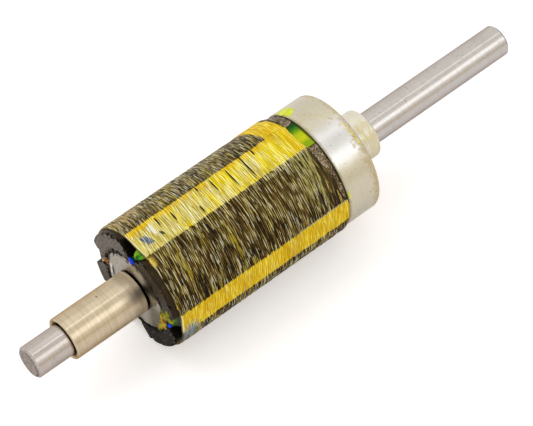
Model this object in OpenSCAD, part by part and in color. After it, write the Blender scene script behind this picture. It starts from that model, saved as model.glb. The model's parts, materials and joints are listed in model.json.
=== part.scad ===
// Four-pole permanent-magnet rotor of a small brushless motor.
// The rotor lies on its side. Its axis is X, with the short front journal at -X,
// the long rear journal at +X, and the origin on the axis at half the overall length.
// A gap between two magnets faces straight down, so the rotor rests on a flat of its winding.

/* [Shaft] */
// Diameter of both journals
journal_d = 5; // [4:0.1:6]
// Free length of the front journal
front_journal_l = 6; // [3:0.5:15]
// Free length of the rear journal
rear_journal_l = 26.2; // [10:0.1:50]
// Chamfer at both ends of the shaft
tip_chamfer = 0.3; // [0.1:0.05:0.6]
// Height of the step up from the journal to the sleeve seat
sleeve_step = 0.4; // [0.35:0.05:0.6]
// Height of the step up from the sleeve seat to the core seat
core_step = 0.1; // [0.05:0.05:0.6]
// How far the steps sit inside the sleeve and the collar
step_inset = 0.2; // [0.2:0.05:1]

/* [Front sleeve] */
// Length of the spacer sleeve
sleeve_l = 12.35; // [6:0.05:20]
// Wall of the spacer sleeve
sleeve_wall = 0.43; // [0.35:0.01:1.5]
// Chamfer on the outer edges of the sleeve
sleeve_chamfer = 0.15; // [0.05:0.05:0.2]
// Chamfer at the mouth of the sleeve's bore
sleeve_mouth = 0.15; // [0.05:0.05:0.2]
// Open slit between the sleeve and the core
sleeve_slit = 0.25; // [0.1:0.05:1]

/* [Core] */
// Diameter of the steel core
core_d = 12.6; // [11:0.1:14]
// Length of the steel core
core_l = 31.4; // [20:0.1:50]
// Chamfer on the front edge of the core
core_chamfer = 0.1; // [0.05:0.05:0.3]

/* [Magnets] */
// Width of each magnet, across its two parallel sides
magnet_w = 9.4; // [8.8:0.1:10]
// Thickness of each magnet at its middle
magnet_t = 3; // [2:0.1:4]
// How far the magnets stand past the front face of the core
magnet_overhang = 0.1; // [0:0.05:0.5]
// Depth ground off the long outer corners
magnet_bevel = 0.08; // [0.02:0.01:0.15]
// Chamfer on the curved front edge
magnet_chamfer = 0.15; // [0.05:0.05:0.4]
// Slit between the inner corners of neighbouring magnets
magnet_slit = 0.1; // [0.05:0.05:0.4]
// Thickness of the adhesive bed between a magnet and the core
bed_t = 0.1; // [0.05:0.05:0.3]
// How far each bed stops behind the front face of the core
bed_recess = 0.2; // [0:0.1:1]

/* [Gap resin] */
// How far the resin starts behind the front of the magnets, gap by gap
resin_recess = [0.1, 0.2, 0.1, 0.5]; // [0:0.1:2]
// Height of the upright front face above the root of the gap, gap by gap
resin_lip = [0.9, 0.8, 1.3, 1]; // [0.6:0.1:1.5]
// Angle at which the resin rises from that face towards the winding
resin_rise = 40; // [25:1:60]
// Diameter of the two drops of thread sealant
drop_d = 0.62; // [0.3:0.02:0.8]

/* [Fibre winding] */
// Thickness of the winding over the magnets
winding_t = 0.38; // [0.25:0.01:0.8]
// Thickness of the winding where it spans a gap
span_t = 0.44; // [0.3:0.01:0.8]
// Width of one turn of yarn
turn_pitch = 0.6; // [0.5:0.05:1.2]
// Depth of the groove between two turns
turn_depth = 0.05; // [0.02:0.01:0.1]
// Width of the groove between two turns
turn_groove = 0.2; // [0.1:0.05:0.3]
// Bare length of the magnets in front of the winding
winding_front = 1; // [0.5:0.1:3]
// Mean bare length of the magnets behind the winding
winding_rear = 1.1; // [0.8:0.1:3]
// Angle by which the last turn runs out of square
winding_skew = 3.8; // [0:0.1:4]
// Direction around the axis in which the last turn reaches furthest back
winding_skew_at = 215; // [0:5:355]

/* [End ring] */
// How far the end ring stays below the flats of the winding
ring_below = 0.04; // [0.02:0.01:0.5]
// Width of the end ring
ring_w = 5.7; // [3:0.1:10]
// Radius on the rear edge of the ring
ring_round = 0.5; // [0.2:0.05:1.5]
// Chamfer on the front edge of the ring
ring_chamfer = 0.12; // [0.05:0.01:0.3]

/* [Rear collar] */
// Length of the collar
collar_w = 5.1; // [3:0.1:10]
// Wall of the collar
collar_wall = 0.85; // [0.7:0.05:2]
// Radius on the rear edge of the collar
collar_round = 0.4; // [0.1:0.05:0.5]
// Chamfer at the mouth of the collar's bore
collar_mouth = 0.2; // [0.05:0.05:0.2]

/* [Hidden] */
$fn = 96;
poles = 4;
pole_turn = 360 / poles;
half_pole = pole_turn / 2;

// radii
journal_r = journal_d / 2;
sleeve_seat_r = journal_r + sleeve_step;
core_seat_r = sleeve_seat_r + core_step;
sleeve_r = sleeve_seat_r + sleeve_wall;
collar_r = core_seat_r + collar_wall;
core_r = core_d / 2;
bed_r = core_r + bed_t;
magnet_r = bed_r + magnet_t;
winding_r = magnet_r + winding_t;

// stations along the axis, from the front tip to the rear tip
overall_l = front_journal_l + sleeve_l + sleeve_slit + core_l + ring_w + collar_w + rear_journal_l;
front_tip_x = -overall_l / 2;
sleeve_x = front_tip_x + front_journal_l;
core_x = sleeve_x + sleeve_l + sleeve_slit;
magnet_x = core_x - magnet_overhang;
ring_x = core_x + core_l;
collar_x = ring_x + ring_w;
rear_journal_x = collar_x + collar_w;
rear_tip_x = rear_journal_x + rear_journal_l;
winding_x = magnet_x + winding_front;
winding_end_x = ring_x - winding_rear;

// the root of a gap is where the sides of two magnets would meet
gap_root_y = magnet_w / 2 / sin(half_pole);
// where a magnet's side meets its curved back, from the middle of the magnet
corner_a = asin(magnet_w / 2 / magnet_r);
// the winding spans each gap in a straight line between those corners
span_in = magnet_r * cos(half_pole - corner_a);
span_out = span_in + span_t;
ring_r = span_out - ring_below;
// room that a cutting solid takes beyond what it cuts
over = 1;
big = 2 * winding_r;

// turns an upright shape so that its height runs along X, from a station
module along_x(x) {
    translate([x, 0, 0]) rotate([0, 90, 0]) children();
}

// a ring about X: bore and outside radius, front chamfer, rear radius
module turned_ring(x, w, bore_r, out_r, front_chamfer, rear_round) {
    along_x(x) rotate_extrude() {
        polygon([[bore_r, 0], [out_r - front_chamfer, 0], [out_r, front_chamfer],
            [out_r, w - rear_round], [bore_r, w - rear_round]]);
        translate([bore_r, front_chamfer])
            square([out_r - rear_round - bore_r, w - front_chamfer]);
        translate([out_r - rear_round, w - rear_round]) circle(r = rear_round);
    }
}

// a cone about X that opens a bore's mouth; side is 1 for a mouth that faces +X
module bore_mouth(x, bore_r, chamfer, side) {
    from_x = side > 0 ? x - chamfer : x - over;
    along_x(from_x) cylinder(
        h = chamfer + over,
        r1 = side > 0 ? bore_r : bore_r + chamfer + over,
        r2 = side > 0 ? bore_r + chamfer + over : bore_r);
}

// half of space on the far side of a plane that faces a direction about X
module beyond(distance, direction) {
    rotate([direction, 0, 0]) translate([-overall_l, distance, -big])
        cube([2 * overall_l, 2 * big, 2 * big]);
}

// the room between the sides of two neighbouring magnets, with its root towards the axis
module gap_room(x, l) {
    translate([x, gap_root_y, 0]) rotate([half_pole, 0, 0])
        translate([0, 0, -big]) cube([l, big, big]);
}

module shaft() {
    color("lightgray") along_x(front_tip_x) rotate_extrude() polygon([
        [0, 0], [journal_r - tip_chamfer, 0], [journal_r, tip_chamfer],
        [journal_r, front_journal_l + step_inset],
        [sleeve_seat_r, front_journal_l + step_inset],
        [sleeve_seat_r, core_x - front_tip_x],
        [core_seat_r, core_x - front_tip_x],
        [core_seat_r, rear_journal_x - step_inset - front_tip_x],
        [journal_r, rear_journal_x - step_inset - front_tip_x],
        [journal_r, overall_l - tip_chamfer], [journal_r - tip_chamfer, overall_l],
        [0, overall_l]]);
}

module front_sleeve() {
    color("tan") difference() {
        along_x(sleeve_x) rotate_extrude() polygon([
            [sleeve_seat_r, 0], [sleeve_r - sleeve_chamfer, 0], [sleeve_r, sleeve_chamfer],
            [sleeve_r, sleeve_l - sleeve_chamfer], [sleeve_r - sleeve_chamfer, sleeve_l],
            [sleeve_seat_r, sleeve_l]]);
        bore_mouth(sleeve_x, sleeve_seat_r, sleeve_mouth, -1);
    }
}

module rotor_core() {
    color("silver") along_x(core_x) rotate_extrude() polygon([
        [core_seat_r, 0], [core_r - core_chamfer, 0], [core_r, core_chamfer],
        [core_r, core_l], [core_seat_r, core_l]]);
}

// a bread-loaf magnet: parallel sides, a back round the rotor's axis and a hollow that fits the core
module magnet(direction) {
    l = ring_x - magnet_x;
    bevel_at = magnet_r * cos(half_corner()) - magnet_bevel;
    color("dimgray") rotate([direction, 0, 0]) difference() {
        intersection() {
            along_x(magnet_x) rotate_extrude() polygon([
                [bed_r, 0], [magnet_r - magnet_chamfer, 0], [magnet_r, magnet_chamfer],
                [magnet_r, l], [bed_r, l]]);
            translate([magnet_x - over, 0, -magnet_w / 2])
                cube([l + 2 * over, big, magnet_w]);
        }
        // inner corners, cut back so that neighbours clear each other
        beyond(-magnet_slit / 2, half_pole + 90);
        beyond(-magnet_slit / 2, -half_pole - 90);
        // long outer corners
        beyond(bevel_at, bevel_direction());
        beyond(bevel_at, -bevel_direction());
    }
}

// a bevel faces midway between the curved back and the side at the corner
function bevel_direction() = (corner_a + 90) / 2;
function half_corner() = (90 - corner_a) / 2;

// the film of adhesive under one magnet
module adhesive_bed(direction) {
    from_x = core_x + bed_recess;
    color("khaki") rotate([direction, 0, 0]) difference() {
        along_x(from_x) difference() {
            cylinder(h = ring_x - from_x, r = bed_r);
            translate([0, 0, -over]) cylinder(h = ring_x - from_x + 2 * over, r = core_r);
        }
        beyond(-magnet_slit / 2, half_pole + 90);
        beyond(-magnet_slit / 2, -half_pole - 90);
    }
}

// resin between two magnets: an upright front face, then a slope up to the winding
module gap_resin(i) {
    from_x = magnet_x + resin_recess[i];
    lip_y = gap_root_y + resin_lip[i];
    color(i == 0 ? "goldenrod" : "yellowgreen") rotate([pole_turn * i, 0, 0]) difference() {
        gap_room(from_x, ring_x - from_x);
        beyond(span_in, 0);
        translate([from_x, lip_y, -big]) rotate([0, 0, resin_rise])
            translate([-big, 0, 0]) cube([3 * big, big, 2 * big]);
    }
}

// a drop of sealant on the front face of the resin in one gap
module sealant_drop(i) {
    from_x = magnet_x + resin_recess[i];
    drop_y = gap_root_y + resin_lip[i] - drop_d / 2;
    color("blue") rotate([pole_turn * i, 0, 0]) intersection() {
        translate([from_x, drop_y, 0]) sphere(d = drop_d);
        gap_room(from_x - drop_d, drop_d);
    }
}

// the edge of the winding, cut along its length: a ridge for each turn and a groove between turns
function turn_edge(crest, l) = let (n = ceil(l / turn_pitch), step = l / n) concat(
    [[crest - turn_depth, 0]],
    [for (k = [0:n - 1]) each [[crest, k * step + turn_groove / 2],
        [crest, (k + 1) * step - turn_groove / 2], [crest - turn_depth, (k + 1) * step]]]);

// a slab across the axis whose two faces carry the turns; turned by 90 it does the other pair
module ridged_slab(half_h, x, l, turned) {
    edge = turn_edge(half_h, l);
    rotate([turned, 0, 0]) translate([x, 0, -big]) linear_extrude(2 * big) polygon(concat(
        [for (p = edge) [p[1], p[0]]],
        [for (k = [len(edge) - 1:-1:0]) [edge[k][1], -edge[k][0]]]));
}

module fibre_winding() {
    run_out = winding_r * tan(winding_skew);
    l = winding_end_x - winding_x + run_out;
    color("darkgoldenrod") difference() {
        intersection() {
            along_x(winding_x) rotate_extrude() polygon(concat(
                [[core_r, 0]], turn_edge(winding_r, l), [[core_r, l]]));
            ridged_slab(span_out, winding_x, l, 0);
            ridged_slab(span_out, winding_x, l, pole_turn);
        }
        intersection() {
            along_x(winding_x - over) cylinder(h = l + 2 * over, r = magnet_r);
            translate([winding_x - 2 * over, -span_in, -span_in])
                cube([l + 4 * over, 2 * span_in, 2 * span_in]);
        }
        // the last turn runs out of square
        rotate([winding_skew_at, 0, 0]) translate([winding_end_x, 0, 0])
            rotate([0, 0, -winding_skew]) translate([0, -big, -big])
                cube([big, 2 * big, 2 * big]);
    }
}

module end_ring() {
    color("gainsboro")
        turned_ring(ring_x, ring_w, core_seat_r, ring_r, ring_chamfer, ring_round);
}

module rear_collar() {
    color("whitesmoke") difference() {
        turned_ring(collar_x, collar_w, core_seat_r, collar_r, 0, collar_round);
        bore_mouth(rear_journal_x, core_seat_r, collar_mouth, 1);
    }
}

shaft();
front_sleeve();
rotor_core();
magnet(half_pole);  // magnet_1
magnet(half_pole + pole_turn);  // magnet_2
magnet(half_pole + 2 * pole_turn);  // magnet_3
magnet(half_pole + 3 * pole_turn);  // magnet_4
adhesive_bed(half_pole);  // adhesive_bed_1
adhesive_bed(half_pole + pole_turn);  // adhesive_bed_2
adhesive_bed(half_pole + 2 * pole_turn);  // adhesive_bed_3
adhesive_bed(half_pole + 3 * pole_turn);  // adhesive_bed_4
gap_resin(0);  // gap_resin_1
gap_resin(1);  // gap_resin_2
gap_resin(2);  // gap_resin_3
gap_resin(3);  // gap_resin_4
sealant_drop(1);  // sealant_drop_1
sealant_drop(2);  // sealant_drop_2
fibre_winding();
end_ring();
rear_collar();
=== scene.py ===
import json
import random
from contextlib import contextmanager
from math import atan2, cos, hypot, pi, radians, sin, tan

import bpy
import numpy as np
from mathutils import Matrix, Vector, noise

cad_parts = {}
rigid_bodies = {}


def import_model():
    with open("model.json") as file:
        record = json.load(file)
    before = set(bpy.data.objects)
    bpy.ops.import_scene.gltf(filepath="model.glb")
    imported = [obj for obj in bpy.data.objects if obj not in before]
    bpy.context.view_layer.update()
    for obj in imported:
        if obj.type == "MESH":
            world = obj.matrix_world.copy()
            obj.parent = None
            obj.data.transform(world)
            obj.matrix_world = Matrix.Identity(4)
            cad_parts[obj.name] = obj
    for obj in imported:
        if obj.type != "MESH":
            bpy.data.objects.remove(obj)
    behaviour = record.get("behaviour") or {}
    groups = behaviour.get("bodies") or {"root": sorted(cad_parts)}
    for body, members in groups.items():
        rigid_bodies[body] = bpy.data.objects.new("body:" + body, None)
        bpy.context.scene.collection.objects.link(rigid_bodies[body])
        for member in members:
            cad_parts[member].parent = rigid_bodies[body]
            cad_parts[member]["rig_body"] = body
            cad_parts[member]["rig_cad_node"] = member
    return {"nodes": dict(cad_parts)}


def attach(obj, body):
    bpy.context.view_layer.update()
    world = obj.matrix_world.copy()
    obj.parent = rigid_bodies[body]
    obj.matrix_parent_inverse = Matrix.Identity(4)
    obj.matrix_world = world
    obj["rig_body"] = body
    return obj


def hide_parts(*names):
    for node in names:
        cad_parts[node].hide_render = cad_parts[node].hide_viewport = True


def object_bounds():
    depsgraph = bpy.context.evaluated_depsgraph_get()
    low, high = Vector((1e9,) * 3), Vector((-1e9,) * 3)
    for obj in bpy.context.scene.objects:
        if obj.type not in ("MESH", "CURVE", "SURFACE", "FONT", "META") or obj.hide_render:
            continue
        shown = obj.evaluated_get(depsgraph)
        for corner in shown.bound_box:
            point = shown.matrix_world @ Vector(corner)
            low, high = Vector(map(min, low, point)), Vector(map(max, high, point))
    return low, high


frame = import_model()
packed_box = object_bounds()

# ---------------------------------------------------------------- shaft
# A ground steel rod, stepped under the sleeve and the core that are pressed on it.
# Centreless grinding leaves fine lines round it, and both ends are faced flat.
MM = 0.001
solids = frame["nodes"]


class Wire:
    """A number, place or colour on its way through a finish."""

    def __init__(self, finish, socket):
        self.finish, self.socket = finish, socket

    def sum(self, operation, first, second):
        return self.finish.node("Math", {"operation": operation}, {0: first, 1: second})

    def __add__(self, other):
        return self.sum("ADD", self, other)

    def __sub__(self, other):
        return self.sum("SUBTRACT", self, other)

    def __rsub__(self, other):
        return self.sum("SUBTRACT", other, self)

    def __mul__(self, other):
        return self.sum("MULTIPLY", self, other)

    def __truediv__(self, other):
        return self.sum("DIVIDE", self, other)

    __radd__, __rmul__ = __add__, __mul__

    def through(self, operation):
        return self.finish.node("Math", {"operation": operation}, {0: self})

    def rise(self, low, high):
        """0 below low and 1 above high, with a soft step between them; low may be the larger."""
        return self.finish.node("MapRange", {"interpolation_type": "SMOOTHSTEP"},
                                {"Value": self, "From Min": low, "From Max": high})

    def between(self, low, high, soft):
        """1 between low and high, 0 outside them."""
        return self.rise(low - soft, low + soft) * self.rise(high + soft, high - soft)

    def covered(self, share, colour):
        """This colour with another over it, as far as share says."""
        return self.finish.mix(share, self, colour)

    def joined(self, *others):
        """This mask and others as one: the highest of them."""
        highest = self
        for other in others:
            highest = self.sum("MAXIMUM", highest, other)
        return highest


class Finish:
    """One surface finish: a shader, and the nodes that vary it over the surface."""

    def __init__(self, name, slot=None, **plain):
        self.material = bpy.data.materials.new(name)
        self.material.use_nodes = True
        self.tree = self.material.node_tree
        self.shader = self.tree.nodes["Principled BSDF"]
        for socket, value in plain.items():
            label = socket.replace("_", " ").title().replace("Ior", "IOR")
            self.shader.inputs[label].default_value = value
        self.slot = slot
        place = self.node("TexCoord", out="Object")
        self.place = self.node("VectorMath", {"operation": "SCALE"}, {0: place, "Scale": 1 / MM})
        self.x, self.y, self.z = self.parts(self.place)
        self.reach = (self.y * self.y + self.z * self.z).through("SQRT")

    def node(self, kind, settings=(), sockets=(), out=0):
        """Any node, from its type, its settings and the values or wires of its sockets."""
        made = self.tree.nodes.new("ShaderNode" + kind)
        for name, value in dict(settings).items():
            if name == "stops":
                ramp = made.color_ramp
                while len(ramp.elements) < len(value):
                    ramp.elements.new(1)
                for element, (at, colour) in zip(ramp.elements, value):
                    element.position, element.color = at, (*colour, 1)
            else:
                setattr(made, name, value)
        for name, value in dict(sockets).items():
            if isinstance(value, Wire):
                self.tree.links.new(value.socket, made.inputs[name])
            else:
                made.inputs[name].default_value = value
        return Wire(self, made.outputs[out])

    def parts(self, place):
        apart = self.node("SeparateXYZ", (), {0: place}).socket.node
        return [Wire(self, socket) for socket in apart.outputs]

    def spread(self, fine, seed, place):
        """The place of a pattern, moved by its seed; fine is its cells per millimetre, or those
        along the axis and those across it."""
        along, across = fine if isinstance(fine, tuple) else (fine, fine)
        return self.node("VectorMath", {"operation": "MULTIPLY_ADD"},
                         {0: place or self.place, 1: (along, across, across),
                          2: (seed * 7.3, seed * 3.1, seed * 5.7)})

    def grain(self, fine, detail=2, seed=0, place=None, warp=0):
        """Noise from 0 to 1."""
        return self.node("TexNoise", (), {"Vector": self.spread(fine, seed, place), "Scale": 1,
                                          "Detail": detail, "Roughness": 0.55, "Distortion": warp})

    def rings(self, fine, detail):
        """Noise in rings round the axis, as a lathe tool leaves them on a flat face."""
        return self.node("TexNoise", {"noise_dimensions": "1D"},
                         {"W": self.reach, "Scale": fine, "Detail": detail})

    def cells(self, fine, seed=0, place=None):
        """A random value from 0 to 1 for each cell."""
        speckle = self.node("TexVoronoi", (), {"Vector": self.spread(fine, seed, place), "Scale": 1},
                            out="Color")
        return self.parts(speckle)[0]

    def blot(self, across, along, at, size, ragged=0.0, soft=0.25):
        """1 inside an ellipse round a point, 0 outside it; ragged tears its edge."""
        u, v = (across - at[0]) / size[0], (along - at[1]) / size[1]
        away = (u * u + v * v).through("SQRT")
        if ragged:
            away = away + (self.grain(3, seed=at[0]) - 0.5) * ragged
        return away.rise(1 + soft, 1 - soft)

    def mix(self, share, first, second):
        """The first colour where share is 0, the second where it is 1."""
        first, second = ((*c, 1) if isinstance(c, tuple) else c for c in (first, second))
        return self.node("Mix", {"data_type": "RGBA"}, {0: share, 6: first, 7: second}, out=2)

    def shades(self, value, *stops):
        """A colour ramp, each stop a value and its colour."""
        return self.node("ValToRGB", {"stops": stops}, {0: value})

    def feed(self, socket, wire):
        self.tree.links.new(wire.socket, self.shader.inputs[socket])

    def bump(self, height, deep):
        """deep is how far, in millimetres, a height of 1 stands above a height of 0."""
        bumped = self.node("Bump", (), {"Strength": 1, "Distance": deep * MM, "Height": height})
        self.feed("Normal", bumped)

    def facing_end(self):
        """1 on a face that looks along the axis."""
        along = self.parts(self.node("NewGeometry", out="Normal"))[0]
        return (along * along).rise(0.5, 0.8)

    def on(self, *pieces):
        """Puts the finish on pieces."""
        for piece in pieces:
            if not piece.data.materials:
                piece.data.materials.append(None)
            for place in piece.material_slots:
                place.material = self.material
            self.slot and "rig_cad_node" not in piece


def layered(colour, *layers):
    """A colour with others laid over it in turn, each layer a share and a colour."""
    for share, over in layers:
        colour = colour.covered(share, over)
    return colour


steel = Finish("ground_steel", "ground_steel", metallic=1, specular_tint=(0.62, 0.56, 0.50, 1))
lines = steel.grain((16, 0.3), 3)
haze = steel.grain((0.3, 0.5), 3, seed=1)
specks = steel.grain((3.2, 2.2), 2, seed=2).rise(0.63, 0.75)
marks = steel.grain((3.4, 0.1), 3, seed=6)
scored = steel.grain((1, 3.2), 3, seed=8)
rings = steel.rings(9, 2)
faced = steel.facing_end()
polish = haze * 0.6 + lines * 0.3 + marks * 0.5 - 0.15
# the free rear journal is the palest; painted shade blackens the slit at the core, and the rear rim is
# dark
rear_polish = steel.mix(polish, (0.49, 0.445, 0.40), (0.68, 0.635, 0.59))
shaded_slit = steel.x.rise(-25.3, -25.2) * steel.x.rise(-24.7, -24.8)
rim_side = (steel.z * 0.8 - steel.y + (scored - 0.5) * 2.5).rise(0.8, 1.3)
nosed = steel.x.rise(-43.2, -43.35) * rim_side * scored.rise(0.38, 0.5)
side_colour = layered(
    steel.mix(polish, (0.44, 0.38, 0.33), (0.63, 0.56, 0.50)),
    (steel.x.rise(15, 18), rear_polish),
    (specks * 0.5, (0.26, 0.21, 0.17)),
    (shaded_slit, (0.004, 0.003, 0.002)),
    (steel.x.rise(43.15, 43.3) * 0.8, (0.16, 0.14, 0.12)),
    (nosed * 0.25, (0.05, 0.043, 0.037)))
# the front end was scored when it was faced, most of all along one side of its rim
rim_score = (steel.reach + (scored - 0.5) * 0.5).rise(1.86, 1.94) * rim_side
end_colour = layered(
    steel.mix(haze * 0.6 + rings * 0.4, (0.38, 0.345, 0.32), (0.58, 0.52, 0.49)),
    (scored.rise(0.50, 0.60) * 0.75, (0.10, 0.085, 0.07)),
    (rim_score * 0.85, (0.03, 0.026, 0.022)))
# the step inside the sleeve's mouth: brown outside, and black within as painted shade
in_mouth = steel.x.rise(-37.60, -37.48) * steel.x.rise(-37.0, -37.15)
mouth_and_shade_colour = steel.mix(steel.reach.rise(2.76, 2.68), (0.40, 0.30, 0.17),
                         (0.006, 0.005, 0.004))
steel.feed("Base Color", side_colour.covered(faced, end_colour).covered(in_mouth, mouth_and_shade_colour))
steel.feed("Roughness", 0.14 + lines * 0.14 + faced * 0.2)
steel.bump(lines + faced * rings, 0.004)
steel.on(solids["shaft"])

# ---------------------------------------------------------------- core
# The steel core that the magnets are glued to, faced on a lathe.
# Its front is bright enough to mirror the sleeve, and stained where glue was wiped off.
core = Finish("core_steel", "core_steel", metallic=1)
x, y, z = core.x, core.y, core.z
swirl = core.rings(5, 3)
stipple = core.grain(5, 3)
wiped = core.grain(1.4, 3, seed=3)
jagged = core.grain(1.9, 3, seed=5) - 0.5
pitted = stipple.rise(0.33, 0.64)
rim_dirt = (core.reach + jagged * 2.4).rise(6.02, 6.08)
brown_rim = (core.reach + jagged * 2.2).rise(5.80, 5.95) * (1 - rim_dirt)
glued = y.rise(-2, -4) * z.rise(1.5, -1)
yellowed = (wiped * 0.6 + stipple * 0.4 + glued * 0.2).rise(0.50, 0.66) * glued
# painted highlight: a cream glint on the lip of two cracks
crack_highlight = core.blot(y, z, (5.4, -0.3), (0.42, 1.15), 0.7)
face_colour = layered(
    core.mix(pitted * 0.75 + swirl * 0.25, (0.24, 0.21, 0.16), (0.57, 0.51, 0.40)),
    (glued * 0.82, (0.10, 0.09, 0.055)),
    (yellowed * 0.5, (0.14, 0.11, 0.02)),
    (rim_dirt * 0.95, (0.020, 0.015, 0.010)),
    (brown_rim * 0.7, (0.22, 0.16, 0.07)),
    (crack_highlight * 0.8, (0.80, 0.74, 0.58)))
# each crack's place across and up the face, and its half width and half height
CRACKS = ((4.95, -0.35, 0.26, 1.15), (5.9, -0.5, 0.26, 1.3), (1.15, 5.42, 0.34, 0.30),
          (-1.05, 5.50, 0.44, 0.20), (-5.66, 0.0, 0.20, 0.8), (-3.9, -4.1, 0.5, 0.14),
          (-1.9, 5.55, 0.4, 0.10), (4.4, 3.9, 0.16, 0.5), (2.6, 5.3, 0.5, 0.16), (-4.6, 1.4, 0.14, 0.5))
for across, along, wide, high in CRACKS:
    crack = core.blot(y, z, (across, along), (wide, high), 0.45, 0.05)
    face_colour = face_colour.covered(crack, (0.010, 0.008, 0.005))
# painted reflection of the dark sleeve where shadowed, and a paler, less metallic painted sheen patch
# above the sleeve
shadowed = y.rise(-1.8, -2.9) * z.rise(2.1, 3.1)
painted_sheen_patch = core.blot(y, z, (-1.7, 4.7), (1.5, 1.2), 0.4, 0.5)
face_colour = layered(
    face_colour,
    # painted shade: black round the bore, in the sleeve's slit
    (core.reach.rise(3.38, 3.33), (0.004, 0.003, 0.002)),
    (shadowed * 0.97, (0.010, 0.010, 0.008)),
    (painted_sheen_patch * 0.3, (0.42, 0.34, 0.22)))
core.feed("Base Color", face_colour)
core.feed("Metallic", 1 - painted_sheen_patch * 0.7)
core.feed("Roughness", 0.24 + stipple * 0.2 + rim_dirt * 0.3)
core.bump(swirl + stipple * 0.6, 0.004)
core.on(solids["rotor_core"])

# ---------------------------------------------------------------- front sleeve
# A turned spacer sleeve, warm champagne in tone and finely brushed round its girth.
# It is pressed on the shaft and keeps the bearing off the magnets.
sleeve = Finish("sleeve_metal", "sleeve_metal", metallic=1, specular_tint=(0.62, 0.50, 0.36, 1))
brushing = sleeve.grain((13, 0.2), 4)
tarnish = sleeve.grain((0.5, 0.7), 3, seed=2)
bands = sleeve.grain((4.6, 0.12), 3, seed=5)
pit = sleeve.blot(sleeve.x, sleeve.y, (-30.85, 0.73), (0.16, 0.16), 0.5)
# painted reflection: a dark smudge where the sleeve mirrors the magnets beside the rotor
painted_reflection = sleeve.blot(sleeve.x, sleeve.y, (-25.4, -2.25), (2.2, 0.6), 0.4, 0.8)
painted_reflection = painted_reflection * sleeve.z.rise(0, 1) * 0.7
sleeve_colour = layered(
    sleeve.mix(brushing * 0.5 + tarnish * 0.35 + bands * 0.8 - 0.33,
               (0.46, 0.36, 0.22), (0.80, 0.67, 0.48)),
    (pit * 0.7, (0.08, 0.06, 0.04)),
    (painted_reflection, (0.06, 0.045, 0.035)))
sleeve.feed("Base Color", sleeve_colour)
sleeve.feed("Metallic", 1 - sleeve.x.rise(-29.5, -26.5) * 0.55)
sleeve.feed("Roughness", 0.16 + brushing * 0.16)
sleeve.bump(brushing + bands, 0.006)
sleeve.on(solids["front_sleeve"])

# ---------------------------------------------------------------- magnets
# Four bread-loaf blocks of sintered neodymium, ground to size and glued round the core.
# The brittle material has lost small chips along every edge that shows.
CHIP_VOXEL = 0.09 * MM
SHOWN_FRONT, SHOWN_REAR = -22.6 * MM, 3.6 * MM
MAGNET_FOOT, MAGNET_MIDDLE, MAGNET_BACK = 6.4 * MM, 7.6 * MM, 9.4 * MM
MAGNET_HALF = 4.7 * MM
CHIP_DEPTH, CRUMBLE_DEPTH, GRIT_DEPTH = 0.42 * MM, 0.35 * MM, -0.018 * MM


def only(*pieces):
    """Leaves just these pieces selected, the first one active."""
    bpy.ops.object.select_all(action="DESELECT")
    for piece in pieces:
        piece.select_set(True)
    bpy.context.view_layer.objects.active = pieces[0]


@contextmanager
def editing(all_of_it=True):
    """Edit mode on the active piece, from all of it selected or from what was selected last."""
    bpy.ops.object.mode_set(mode="EDIT")
    if all_of_it:
        bpy.ops.mesh.select_all(action="SELECT")
    yield
    bpy.ops.object.mode_set(mode="OBJECT")


def remesh(piece, voxel):
    skin = piece.modifiers.new("skin", "REMESH")
    skin.mode, skin.voxel_size = "VOXEL", voxel
    bpy.ops.object.modifier_apply(modifier="skin")


def in_scene(made):
    bpy.context.scene.collection.objects.link(made)
    return made


def copy_of(piece, name):
    twin = piece.copy()
    twin.data = piece.data.copy()
    twin.name = name
    return in_scene(twin)


def points(piece):
    places = np.empty(len(piece.data.vertices) * 3)
    piece.data.vertices.foreach_get("co", places)
    return places.reshape(-1, 3)


def put_points(piece, places):
    piece.data.vertices.foreach_set("co", places.ravel())
    piece.data.update()


def rough(places, cell, seed=0, octaves=3):
    """Fractal noise of about -1 to 1 at each place; cell is its size along x, y and z."""
    shift = Vector((seed * 13.7, seed * 5.1, seed * 9.3))
    return np.array([noise.fractal(Vector(p) + shift, 0.8, 2.0, octaves) for p in places / cell])


def keep_between(piece, low, high):
    """Cuts the piece off at one station or two, and caps it there."""
    only(piece)
    with editing():
        for station, ahead in ((low, 1), (high, -1)):
            if station is not None:
                bpy.ops.mesh.select_all(action="SELECT")
                bpy.ops.mesh.bisect(plane_co=(station, 0, 0), plane_no=(ahead, 0, 0),
                                    use_fill=True, clear_inner=True)
    return piece


def chip(piece, number, turn, low_end, high_end):
    """Remeshes one end of a magnet finely and knocks small chips off the edges that show."""
    only(piece)
    remesh(piece, CHIP_VOXEL)
    places = points(piece)
    reach = np.hypot(places[:, 1], places[:, 2])
    side = np.array((0, -sin(turn), cos(turn)))
    # how far each point lies under the end, the back and the flank, and above the foot
    end = np.minimum(places[:, 0] - low_end, high_end - places[:, 0])
    foot = reach - MAGNET_FOOT
    depths = np.stack((end, MAGNET_BACK - reach, MAGNET_HALF - np.abs(places @ side), foot))
    nearest, second = np.sort(depths, axis=0)[:2]
    edge = np.clip(1 - (nearest + second) / (0.5 * MM), 0, 1)
    chips = np.clip((rough(places, 0.75 * MM, number) - 0.12) * 2.5, 0, 1) * edge * CHIP_DEPTH
    crumbled = np.clip(1 - (end + np.clip(foot, 0, None)) / (0.8 * MM), 0, 1)
    chips += np.clip(rough(places, 0.9 * MM, number + 4) * 2 + 0.3, 0, 1) * crumbled * CRUMBLE_DEPTH
    grit = np.clip(rough(places, 0.3 * MM, number + 9, 2), -1, 0) * GRIT_DEPTH
    inward = np.array((0, cos(turn), sin(turn))) * MAGNET_MIDDLE - places
    inward[:, 0] = np.where(places[:, 0] < 0, 3, -3) * MM
    inward /= np.linalg.norm(inward, axis=1)[:, None]
    near_end = np.clip(1 - end / (1.5 * MM), 0, 1)
    places += inward * ((chips + grit) * near_end)[:, None]
    put_points(piece, places)


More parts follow.
